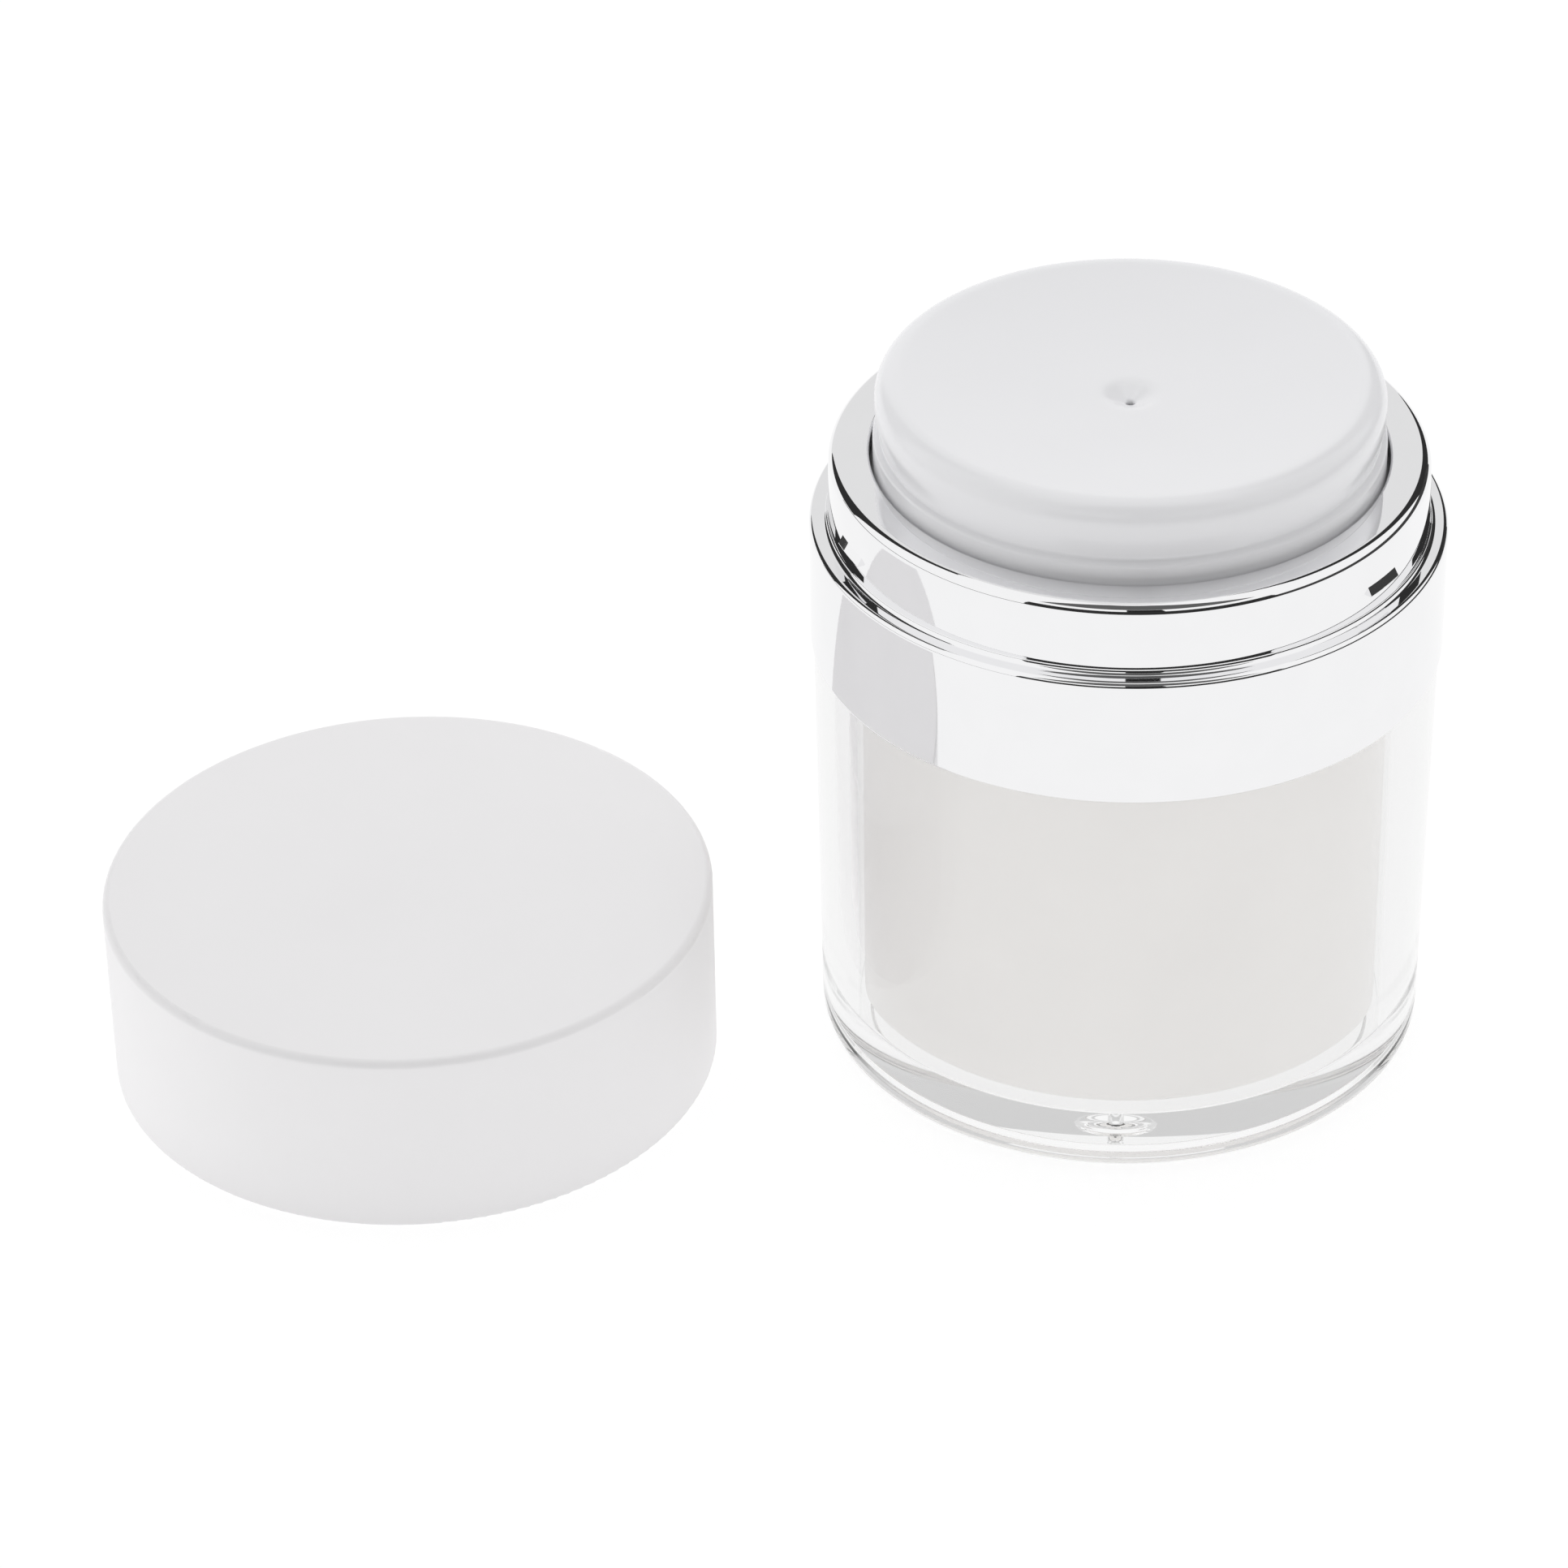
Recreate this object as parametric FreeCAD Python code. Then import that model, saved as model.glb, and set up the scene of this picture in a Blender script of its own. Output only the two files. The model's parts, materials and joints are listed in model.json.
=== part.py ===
"""Airless pump jar with its cap taken off, in millimetres.

A clear outer jar holds a white cup with a threaded neck. A collar screws onto the neck and clamps
the pump deck. Pressing the plate drives the pump piston down, and a follower rises in the cup as the
cream is used. The origin is on the jar's axis at its underside, +Z is up, and the cap stands on the
same surface on the -X side.
"""

import FreeCAD, Part
import math
import os

# Cup and outer jar, radii outwards from the cup's bore
cup_bore = 25.0
cup_wall = 1.3
cup_gap = 0.6
cup_floor = 1.3
cup_lift = 0.6
cup_round = 1.5
cup_inner_round = 0.8
cup_vent_radius = 1.0
jar_height = 45.0
jar_base = 5.2
jar_draft = 0.5
jar_foot_round = 1.5
jar_bore_round = 0.4
jar_rim_round = 0.3
jar_vent_radius = 0.5
jar_ring_width = 5.25
jar_recess = 0.8
jar_recess_round = 0.2
gate_radius = 2.4
gate_depth = 0.5

# Threaded neck of the cup
shoulder_thickness = 1.2
shoulder_margin = 0.25
neck_step = 1.1
neck_step_drop = 0.8
neck_wall = 1.5
neck_height = 8.0
thread_pitch = 3.0
thread_depth = 0.95
thread_root_width = 1.5
thread_crest_width = 0.8
thread_bite = 0.3
thread_clearance = 0.25
thread_rise = 2.1
neck_thread_turns = 1.25
ring_thread_turns = 1.0

# Collar and the threaded ring pressed into it
ring_wall = 1.3
ring_press = 0.05
ring_flange = 0.95
ring_floor_gap = 0.2
collar_wall = 1.5
collar_ledge = 1.4
collar_step = 2.0
collar_neck_height = 7.45
collar_lip = 4.0
collar_lip_thickness = 1.45
collar_draft = 0.2
collar_top_round = 1.15
collar_ledge_round = 0.6
collar_lip_round = 0.3
collar_foot_round = 0.15
collar_seam = 0.05
band_proud = 0.3
lug_count = 3
lug_first_angle = -43.6
lug_arc = 9.0
lug_height = 1.0
lug_proud = 0.45
lug_ramp = 0.58
lug_rise = 2.8
lug_edge_round = 0.1

# Pump deck and its seal
gasket_thickness = 0.8
deck_flange = 1.2
deck_wall = 1.2
deck_plate = 1.4
deck_depth = 5.0
deck_fit = 0.1
clamp_gap = 0.05

# Pump
stroke = 5.5
cylinder_bore = 5.5
cylinder_wall = 1.3
cylinder_fit = 0.1
cylinder_flange_width = 3.4
cylinder_flange = 1.2
cylinder_rise = 4.4
cylinder_gasket_thickness = 0.6
valve_wall = 1.6
valve_floor = 0.9
cage_thickness = 1.0
cage_rim = 1.1
cage_bar = 0.8
inlet_ball_radius = 2.0
inlet_ball_lift = 1.0
inlet_side_gap = 0.5
inlet_radius = 1.2
ball_clearance = 0.05
floor_clearance = 0.7
guide_plate = 1.2
guide_skirt = 3.2
guide_skirt_wall = 1.3
guide_rim = 0.8
stem_radius = 2.6
stem_bore = 1.0
stem_fit = 0.05
stem_running_gap = 0.1
stem_shoulder_width = 1.2
stem_shoulder = 1.1
stop_gap = 0.1
piston_height = 4.5
piston_gap = 0.05
piston_waist = 0.9
piston_lip = 0.6
retainer_height = 1.2
retainer_width = 1.8
outlet_ball_radius = 1.5
outlet_ball_lift = 0.8
outlet_side_gap = 0.4

# Return spring
spring_wire = 0.9
spring_radius = 5.2
spring_turns = 5.5
spring_side_gap = 0.45
spring_end_gap = 0.05

# Press plate
head_gap = 0.35
head_step = 0.2
head_step_height = 1.75
head_step_run = 0.4
head_step_round = 0.4
head_undercut = 0.5
head_undercut_height = 2.4
head_undercut_round = 6.0
head_crease_round = 0.3
head_rise = 8.05
head_round = 2.2
head_dish = 2.1
head_wall = 1.3
head_plate = 2.0
head_underside_rise = 2.5
head_bead = 0.75
head_bead_height = 1.6
head_bead_gap = 0.4
socket_wall = 1.55
socket_depth = 5.0
stem_top_gap = 0.4
nib_height = 0.3
nib_width = 0.5
nib_count = 3
dimple_radius = 2.8
dimple_depth = 1.0
dimple_blend = 0.8
orifice_radius = 0.4
orifice_round = 0.5

# Follower piston
follower_height = 13.4
follower_thickness = 1.2
follower_lift = 0.2
follower_gap = 0.05
follower_waist = 0.65
follower_lip = 0.8
follower_lip_run = 1.4
follower_dish = 1.6
follower_well_gap = 0.9
follower_well_depth = 7.4

# Cap
cap_height = 20.14
cap_wall = 1.15
cap_top = 1.6
cap_fit = 0.25
cap_top_round = 0.8
cap_foot_round = 0.3
cap_lead_in = 0.55
cap_inner_round = 1.2
cap_groove_depth = 0.5
cap_groove_height = 1.4
cap_distance = 73.4

# Radii from the cup outwards
cup_radius = cup_bore + cup_wall
jar_bore = cup_radius + cup_gap
neck_bore = cup_bore + neck_step
neck_radius = neck_bore + neck_wall
neck_crest = neck_radius + thread_depth
ring_bore = neck_crest + thread_clearance
ring_crest = ring_bore - thread_depth
ring_radius = ring_bore + ring_wall
band_bore = ring_radius + ring_press
band_radius = band_bore + collar_wall
shoulder_radius = band_bore - shoulder_margin
jar_radius = band_radius - band_proud
jar_foot_radius = jar_radius - jar_draft
collar_neck_radius = band_radius - collar_step
collar_foot_radius = collar_neck_radius + collar_draft
collar_neck_bore = collar_neck_radius - collar_wall
opening_radius = collar_neck_radius - collar_lip
skirt_radius = opening_radius - head_gap
head_radius = skirt_radius - head_step
bead_radius = opening_radius + head_bead
ring_lip = bead_radius + thread_clearance
plug_radius = neck_bore - deck_fit
deck_flange_radius = neck_radius - deck_fit
cylinder_radius = cylinder_bore + cylinder_wall
deck_hole = cylinder_radius + cylinder_fit
cylinder_flange_radius = cylinder_radius + cylinder_flange_width
valve_bore = inlet_ball_radius + inlet_side_gap
cage_seat = valve_bore + cage_rim
valve_radius = valve_bore + valve_wall
stem_hole = stem_radius + stem_running_gap
stem_seat = stem_radius + stem_fit
shoulder_stop_radius = stem_radius + stem_shoulder_width
outlet_chamber = outlet_ball_radius + outlet_side_gap
socket_radius = stem_seat + socket_wall
spring_outer = spring_radius + spring_wire / 2
cap_bore = collar_neck_radius + cap_fit
cap_radius = cap_bore + cap_wall
well_radius = cylinder_radius + follower_well_gap

# A ball of unit radius rests this far above the apex of a 45 degree seat
seat_apex_reach = math.sqrt(2)

# Heights from the floor upwards
cup_bottom = jar_base + cup_lift
cup_floor_top = cup_bottom + cup_floor
shoulder_top = jar_height + shoulder_thickness
neck_top = shoulder_top + neck_height
neck_bore_bottom = shoulder_top + neck_step_drop
thread_start = shoulder_top + thread_rise
gasket_top = neck_top + gasket_thickness
deck_top = gasket_top + deck_flange
ring_top = deck_top + clamp_gap + ring_flange
ring_bottom = shoulder_top + ring_floor_gap
ledge_top = ring_top + collar_ledge
collar_top = ledge_top + collar_neck_height
lip_bottom = collar_top - collar_lip_thickness
deck_plate_bottom = gasket_top - deck_depth
deck_plate_top = deck_plate_bottom + deck_plate
cylinder_flange_bottom = deck_plate_top + cylinder_gasket_thickness
cylinder_flange_top = cylinder_flange_bottom + cylinder_flange
cylinder_top = cylinder_flange_top + cylinder_rise
guide_top = cylinder_top + guide_plate
shoulder_stop_top = cylinder_top - stop_gap
piston_top = shoulder_stop_top
piston_bottom = piston_top - piston_height
retainer_bottom = piston_bottom - retainer_height
chamber_floor = retainer_bottom - stroke - floor_clearance
cage_bottom = chamber_floor - cage_thickness
inlet_ball_centre = cage_bottom - inlet_ball_lift - ball_clearance - inlet_ball_radius
inlet_apex = inlet_ball_centre - ball_clearance - inlet_ball_radius * seat_apex_reach
inlet_seat = inlet_apex + inlet_radius
valve_bottom = inlet_seat - valve_floor
head_top = collar_top + head_rise
dish_bottom = head_top - head_dish
head_underside = dish_bottom - head_plate
bead_top = lip_bottom - head_bead_gap
skirt_bottom = bead_top - head_bead_height
socket_bottom = head_underside - socket_depth
stem_top = head_underside - stem_top_gap
stem_bottom = retainer_bottom
outlet_ball_top = head_underside - nib_height - ball_clearance - outlet_ball_lift
outlet_ball_centre = outlet_ball_top - outlet_ball_radius
outlet_apex = outlet_ball_centre - ball_clearance - outlet_ball_radius * seat_apex_reach
outlet_seat = outlet_apex + stem_bore
follower_bottom = cup_floor_top + follower_lift
follower_top = follower_bottom + follower_height
follower_web = follower_top - follower_dish
follower_well = follower_web - follower_well_depth

Z_AXIS = FreeCAD.Vector(0, 0, 1)
ORIGIN = FreeCAD.Vector(0, 0, 0)

# Largest share of a side that a rounded corner takes, and the shortest edge that is drawn
CORNER_SHARE = 0.49
LEAST_EDGE = 1e-6


def section_point(radius, height):
    """A point of a half section, in the XZ plane."""
    return FreeCAD.Vector(radius, 0, height)


def corner_arc(before, corner, after, radius):
    """Start, middle and end of the arc that rounds a corner, limited by its shorter side."""
    back = before - corner
    ahead = after - corner
    half_side = CORNER_SHARE * min(back.Length, ahead.Length)
    back.normalize()
    ahead.normalize()
    half_angle = back.getAngle(ahead) / 2
    setback = min(radius / math.tan(half_angle), half_side)
    fitted = setback * math.tan(half_angle)
    inwards = back + ahead
    inwards.normalize()
    middle = corner + inwards * (fitted / math.sin(half_angle) - fitted)
    return corner + back * setback, middle, corner + ahead * setback


def section_edges(corners, closed=True):
    """Edges through (radius, height) or (radius, height, round) corners, closed or as an open run."""
    points = [section_point(*corner[:2]) for corner in corners]
    stretches = []
    for index, corner in enumerate(corners):
        point = points[index]
        if len(corner) == 3:
            after = points[(index + 1) % len(points)]
            stretches.append(corner_arc(points[index - 1], point, after, corner[2]))
        else:
            stretches.append((point, point, point))
    edges = []
    for index, (start, middle, end) in enumerate(stretches):
        if (end - start).Length > LEAST_EDGE:
            edges.append(Part.Arc(start, middle, end).toShape())
        following = stretches[(index + 1) % len(stretches)][0]
        if closed or index + 1 < len(stretches):
            edges.append(Part.LineSegment(end, following).toShape())
    return edges


def revolved(edges, angle=360):
    """Solid of revolution about the Z axis of a closed run of edges."""
    return Part.Face(Part.Wire(edges)).revolve(ORIGIN, Z_AXIS, angle)


def turned(corners, angle=360):
    """Solid of revolution about the Z axis of a half section's corners."""
    return revolved(section_edges(corners), angle)


def washer(inner, outer, bottom, top):
    """Flat ring with square edges."""
    return turned([(inner, bottom), (outer, bottom), (outer, top), (inner, top)])


def helical_ridge(root_radius, crest_radius, start_height, start_turn, turns):
    """Thread ridge that bites a little into the wall it stands on."""
    outwards = 1 if crest_radius > root_radius else -1
    foot_radius = root_radius - outwards * thread_bite
    spread = (thread_root_width - thread_crest_width) / 2 / thread_depth
    half_crest = thread_crest_width / 2
    half_foot = half_crest + spread * (thread_depth + thread_bite)
    corners = [
        section_point(foot_radius, -half_foot),
        section_point(crest_radius, -half_crest),
        section_point(crest_radius, half_crest),
        section_point(foot_radius, half_foot),
    ]
    profile = Part.makePolygon(corners + corners[:1])
    helix = Part.makeHelix(thread_pitch, thread_pitch * turns, root_radius)
    ridge = Part.Wire(helix.Edges).makePipeShell([profile], True, True)
    ridge.rotate(ORIGIN, Z_AXIS, 360 * start_turn)
    ridge.translate(Z_AXIS * start_height)
    return ridge


def make_outer_jar():
    return turned([
        (jar_vent_radius, jar_recess + gate_depth),
        (gate_radius, jar_recess + gate_depth, jar_recess_round),
        (gate_radius, jar_recess, jar_recess_round),
        (jar_foot_radius - jar_ring_width, jar_recess, jar_recess_round),
        (jar_foot_radius - jar_ring_width, 0, jar_recess_round),
        (jar_foot_radius, 0, jar_foot_round),
        (jar_radius, jar_height, jar_rim_round),
        (jar_bore, jar_height, jar_rim_round),
        (jar_bore, jar_base, jar_bore_round),
        (jar_vent_radius, jar_base),
    ])


def make_inner_cup():
    cup = turned([
        (cup_vent_radius, cup_bottom),
        (cup_radius, cup_bottom, cup_round),
        (cup_radius, jar_height),
        (shoulder_radius, jar_height),
        (shoulder_radius, shoulder_top),
        (neck_radius, shoulder_top),
        (neck_radius, neck_top),
        (neck_bore, neck_top),
        (neck_bore, neck_bore_bottom),
        (cup_bore, neck_bore_bottom - neck_step),
        (cup_bore, cup_floor_top, cup_inner_round),
        (cup_vent_radius, cup_floor_top),
    ])
    return cup.fuse(helical_ridge(neck_radius, neck_crest, thread_start, 0, neck_thread_turns))


def make_follower_piston():
    lip_radius = cup_bore - follower_gap
    wall_radius = lip_radius - follower_waist
    wall_bore = wall_radius - follower_thickness
    return turned([
        (0, follower_well - follower_thickness),
        (well_radius + follower_thickness, follower_well - follower_thickness, follower_thickness),
        (well_radius + follower_thickness, follower_web - follower_thickness, follower_thickness / 2),
        (wall_bore, follower_web - follower_thickness, follower_thickness),
        (wall_bore, follower_bottom),
        (lip_radius - cup_inner_round, follower_bottom),
        (lip_radius, follower_bottom + cup_inner_round),
        (lip_radius, follower_bottom + cup_inner_round + follower_lip),
        (wall_radius, follower_bottom + cup_inner_round + follower_lip + follower_lip_run),
        (wall_radius, follower_top - follower_lip - follower_lip_run),
        (lip_radius, follower_top - follower_lip),
        (lip_radius, follower_top),
        (lip_radius - follower_lip, follower_top),
        (wall_bore, follower_web, follower_thickness / 2),
        (well_radius, follower_web, follower_thickness / 2),
        (well_radius, follower_well, follower_thickness / 2),
        (0, follower_well),
    ])


def make_collar():
    collar = turned([
        (band_bore, jar_height + collar_seam),
        (band_radius, jar_height + collar_seam, collar_foot_round),
        (band_radius, ledge_top, collar_ledge_round),
        (collar_foot_radius, ledge_top, collar_ledge_round),
        (collar_neck_radius, collar_top, collar_top_round),
        (opening_radius, collar_top, collar_lip_round),
        (opening_radius, lip_bottom),
        (collar_neck_bore, lip_bottom, collar_lip_round),
        (collar_neck_bore, ring_top),
        (band_bore, ring_top),
    ])
    for index in range(lug_count):
        collar = collar.fuse(make_lug(lug_first_angle + index * 360 / lug_count))
    return collar


def make_lug(angle):
    """Snap lug, a short bar around the collar's neck with a ramp on top for the cap's rim."""
    middle = ledge_top + lug_rise
    inner = collar_neck_radius - collar_wall / 2
    outer = collar_foot_radius + lug_proud
    lug = turned([
        (inner, middle - lug_height / 2),
        (outer, middle - lug_height / 2),
        (outer - lug_ramp, middle + lug_height / 2),
        (inner, middle + lug_height / 2),
    ], lug_arc)
    rim = []
    for edge in lug.Edges:
        if all(radius_of(vertex.Point) > collar_foot_radius for vertex in edge.Vertexes):
            rim.append(edge)
    lug = lug.makeFillet(lug_edge_round, rim)
    lug.rotate(ORIGIN, Z_AXIS, angle - lug_arc / 2)
    return lug


def radius_of(point):
    """Distance of a point from the jar's axis."""
    return math.hypot(point.x, point.y)


def make_thread_ring():
    ring = turned([
        (ring_bore, ring_bottom),
        (ring_radius, ring_bottom),
        (ring_radius, ring_top),
        (ring_lip, ring_top),
        (ring_lip, ring_top - ring_flange),
        (ring_bore, ring_top - ring_flange),
    ])
    start_turn = neck_thread_turns - ring_thread_turns
    start_height = thread_start + thread_pitch * start_turn - thread_pitch / 2
    return ring.fuse(helical_ridge(ring_bore, ring_crest, start_height, start_turn, ring_thread_turns))


def make_pump_deck():
    return turned([
        (deck_hole, deck_plate_bottom),
        (plug_radius, deck_plate_bottom, deck_wall / 2),
        (plug_radius, gasket_top),
        (deck_flange_radius, gasket_top),
        (deck_flange_radius, deck_top),
        (plug_radius - deck_wall, deck_top, deck_wall / 4),
        (plug_radius - deck_wall, deck_plate_top, deck_wall / 2),
        (deck_hole, deck_plate_top),
    ])


def make_pump_cylinder():
    return turned([
        (inlet_radius, valve_bottom),
        (valve_radius, valve_bottom, cylinder_wall / 3),
        (valve_radius, cage_bottom - cylinder_wall),
        (cylinder_radius, cage_bottom - cylinder_wall, cylinder_wall / 3),
        (cylinder_radius, cylinder_flange_bottom),
        (cylinder_flange_radius, cylinder_flange_bottom),
        (cylinder_flange_radius, cylinder_flange_top),
        (cylinder_radius, cylinder_flange_top),
        (cylinder_radius, cylinder_top),
        (cylinder_bore, cylinder_top),
        (cylinder_bore, chamber_floor),
        (cage_seat, chamber_floor),
        (cage_seat, cage_bottom),
        (valve_bore, cage_bottom),
        (valve_bore, inlet_apex + valve_bore),
        (inlet_radius, inlet_seat),
    ])


def make_ball_cage():
    cage_radius = cage_seat - stem_fit
    cage = washer(valve_bore, cage_radius, cage_bottom, chamber_floor)
    bar_length = 2 * valve_bore + cage_rim
    for angle in (0, 90):
        corner = FreeCAD.Vector(-bar_length / 2, -cage_bar / 2, cage_bottom)
        bar = Part.makeBox(bar_length, cage_bar, cage_thickness, corner)
        bar.rotate(ORIGIN, Z_AXIS, angle)
        cage = cage.fuse(bar)
    return cage.removeSplitter()


def make_stem_guide():
    skirt_bore = cylinder_radius + stem_fit
    skirt_outer = skirt_bore + guide_skirt_wall
    rim_bore = spring_outer + spring_side_gap
    return turned([
        (stem_hole, cylinder_top),
        (skirt_bore, cylinder_top),
        (skirt_bore, cylinder_top - guide_skirt),
        (skirt_outer, cylinder_top - guide_skirt),
        (skirt_outer, guide_top + guide_rim, guide_rim / 3),
        (rim_bore, guide_top + guide_rim, guide_rim / 3),
        (rim_bore, guide_top),
        (stem_hole, guide_top),
    ])


def make_pump_piston():
    lip_radius = cylinder_bore - piston_gap
    waist_radius = lip_radius - piston_waist
    seat_top = piston_top - stem_shoulder
    return turned([
        (stem_seat, piston_bottom),
        (waist_radius, piston_bottom),
        (lip_radius - piston_lip, piston_bottom),
        (lip_radius, piston_bottom),
        (lip_radius, piston_bottom + piston_lip),
        (waist_radius, piston_bottom + piston_lip + piston_waist),
        (waist_radius, piston_top - piston_lip - piston_waist),
        (lip_radius, piston_top - piston_lip),
        (lip_radius, piston_top),
        (lip_radius - piston_lip, piston_top),
        (shoulder_stop_radius + piston_gap, seat_top),
        (stem_seat, seat_top),
    ])


def make_pump_stem():
    shoulder_bottom = shoulder_stop_top - stem_shoulder
    return turned([
        (stem_bore, stem_bottom),
        (stem_radius, stem_bottom),
        (stem_radius, shoulder_bottom),
        (shoulder_stop_radius, shoulder_bottom),
        (shoulder_stop_radius, shoulder_stop_top),
        (stem_radius, shoulder_stop_top),
        (stem_radius, stem_top),
        (outlet_chamber, stem_top),
        (outlet_chamber, outlet_apex + outlet_chamber),
        (stem_bore, outlet_seat),
    ])


def helix_frame(turn, bottom, rise):
    """Point and direction of the spring's centre line after so many turns."""
    angle = 2 * math.pi * turn
    lead = rise / spring_turns / (2 * math.pi)
    across = spring_radius * math.cos(angle)
    along = spring_radius * math.sin(angle)
    point = FreeCAD.Vector(across, along, bottom + lead * angle)
    direction = FreeCAD.Vector(-along, across, lead)
    direction.normalize()
    return point, direction


def tangent_arc(start, corner, end):
    """Arc from start to end, tangent to the two equal sides that meet at the corner."""
    chord_middle = (start + end) * 0.5
    height = corner - chord_middle
    half_chord = (end - start).Length / 2
    half_turn = math.atan2(height.Length, half_chord)
    height.normalize()
    arc_middle = chord_middle + height * (half_chord * math.tan(half_turn / 2))
    return Part.Arc(start, arc_middle, end).toShape()


def biarc(start, start_direction, end, end_direction):
    """Two arcs that share a tangent where they meet."""
    span = end - start
    together = start_direction + end_direction
    square = 2 * start_direction.dot(end_direction) - 2
    linear = -2 * span.dot(together)
    root = math.sqrt(linear * linear - 4 * square * span.dot(span))
    reach = (-linear - root) / (2 * square)
    if reach < 0:
        reach = (-linear + root) / (2 * square)
    first_corner = start + start_direction * reach
    second_corner = end - end_direction * reach
    meeting = (first_corner + second_corner) * 0.5
    return [tangent_arc(start, first_corner, meeting), tangent_arc(meeting, second_corner, end)]


def make_return_spring():
    bottom = guide_top + spring_end_gap + spring_wire / 2
    rise = head_underside - spring_end_gap - spring_wire / 2 - bottom
    quarters = round(spring_turns * 4)
    frames = [helix_frame(spring_turns * index / quarters, bottom, rise) for index in range(quarters + 1)]
    edges = []
    for (start, start_direction), (end, end_direction) in zip(frames, frames[1:]):
        edges += biarc(start, start_direction, end, end_direction)
    section = Part.Wire(Part.makeCircle(spring_wire / 2, frames[0][0], frames[0][1]))
    print("spring: least gap to itself", round(rise / spring_turns - spring_wire, 3), "mm")
    return Part.Wire(edges).makePipeShell([section], True, False)


def make_press_plate():
    """Shell with a dished top, whose dish and outer round share a tangent at the crest."""
    round_radius = head_radius - head_round
    round_height = head_top - head_round
    dish_radius = (round_radius**2 - 2 * head_round * head_dish + head_dish**2) / (2 * head_dish)
    dish_centre = section_point(0, dish_bottom + dish_radius)
    round_centre = section_point(round_radius, round_height)
    to_crest = dish_centre - round_centre
    to_crest.normalize()
    crest = round_centre + to_crest * head_round
    to_round_middle = section_point(1, 0) + to_crest
    to_round_middle.normalize()
    round_middle = round_centre + to_round_middle * head_round
    dimple_slope = math.atan2(dimple_depth, dimple_radius - orifice_radius)
    dimple_round = dimple_blend / math.tan(dimple_slope / 2)
    brim = dish_point(dish_centre, dish_radius, dimple_radius)
    dish_start = dish_point(dish_centre, dish_radius, dimple_radius + 2 * dimple_blend)
    dish_middle = dish_point(dish_centre, dish_radius, (dish_start.x + crest.x) / 2)
    skirt_bore = head_radius - head_wall
    spring_land = spring_outer + spring_side_gap
    step_top = collar_top + head_step_height + head_step_run
    rim = section_edges([
        (head_radius, round_height),
        (head_radius, step_top + head_undercut_height, head_undercut_round),
        (head_radius - head_undercut, step_top, head_crease_round),
        (skirt_radius, step_top - head_step_run, head_step_round),
        (skirt_radius, bead_top),
        (bead_radius, bead_top - head_bead),
        (bead_radius, skirt_bottom),
        (skirt_bore, skirt_bottom),
        (skirt_bore, head_underside + head_underside_rise, head_wall),
        (spring_land, head_underside),
        (socket_radius, head_underside),
        (socket_radius, socket_bottom),
        (stem_seat, socket_bottom),
        (stem_seat, head_underside),
        (orifice_radius, head_underside),
        (orifice_radius, dish_bottom - dimple_depth, orifice_round),
        (brim.x, brim.z, dimple_round),
        (dish_start.x, dish_start.z),
    ], closed=False)
    top = [
        Part.Arc(dish_start, dish_middle, crest).toShape(),
        Part.Arc(crest, round_middle, section_point(head_radius, round_height)).toShape(),
    ]
    plate = revolved(rim + top)
    for index in range(nib_count):
        plate = plate.fuse(make_nib(index * 360 / nib_count))
    return plate.removeSplitter()


def dish_point(centre, dish_radius, radius):
    """Point of the press plate's dish at this radius from the axis."""
    return section_point(radius, centre.z - math.sqrt(dish_radius**2 - radius**2))


def make_nib(angle):
    """Small stop that keeps the outlet ball off the orifice."""
    length = stem_seat - orifice_radius
    corner = FreeCAD.Vector(orifice_radius, -nib_width / 2, head_underside - nib_height)
    nib = Part.makeBox(length, nib_width, nib_height, corner)
    nib.rotate(ORIGIN, Z_AXIS, angle)
    return nib


def make_cap():
    groove_top = lug_rise + cap_groove_height / 2
    groove_bottom = lug_rise - cap_groove_height / 2
    groove_radius = cap_bore + cap_groove_depth
    cap = turned([
        (0, cap_height - cap_top),
        (cap_bore, cap_height - cap_top, cap_inner_round),
        (cap_bore, groove_top + cap_groove_depth),
        (groove_radius, groove_top),
        (groove_radius, groove_bottom),
        (cap_bore, groove_bottom - cap_groove_depth),
        (cap_bore, 0, cap_lead_in),
        (cap_radius, 0, cap_foot_round),
        (cap_radius, cap_height, cap_top_round),
        (0, cap_height),
    ])
    cap.translate(FreeCAD.Vector(-cap_distance, 0, 0))
    return cap


def make_pieces():
    """Every piece of the jar by name."""
    retainer_radius = stem_seat + retainer_width
    gasket_radius = cylinder_flange_radius
    return {
        "outer_jar": make_outer_jar(),
        "inner_cup": make_inner_cup(),
        "follower_piston": make_follower_piston(),
        "collar": make_collar(),
        "thread_ring": make_thread_ring(),
        "deck_gasket": washer(neck_bore, deck_flange_radius, neck_top, gasket_top),
        "pump_deck": make_pump_deck(),
        "cylinder_gasket": washer(deck_hole, gasket_radius, deck_plate_top, cylinder_flange_bottom),
        "pump_cylinder": make_pump_cylinder(),
        "inlet_ball": Part.makeSphere(inlet_ball_radius, section_point(0, inlet_ball_centre)),
        "ball_cage": make_ball_cage(),
        "stem_guide": make_stem_guide(),
        "return_spring": make_return_spring(),
        "pump_piston": make_pump_piston(),
        "piston_retainer": washer(stem_seat, retainer_radius, retainer_bottom, piston_bottom),
        "pump_stem": make_pump_stem(),
        "outlet_ball": Part.makeSphere(outlet_ball_radius, section_point(0, outlet_ball_centre)),
        "press_plate": make_press_plate(),
        "cap": make_cap(),
    }


os.makedirs("parts", exist_ok=True)
for name, shape in make_pieces().items():
    shape.exportStep(f"parts/{name}.step")
    print(f"{name}: {len(shape.Solids)} solid, valid {shape.isValid()}, {shape.Volume / 1000:.3f} cm3")
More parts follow.
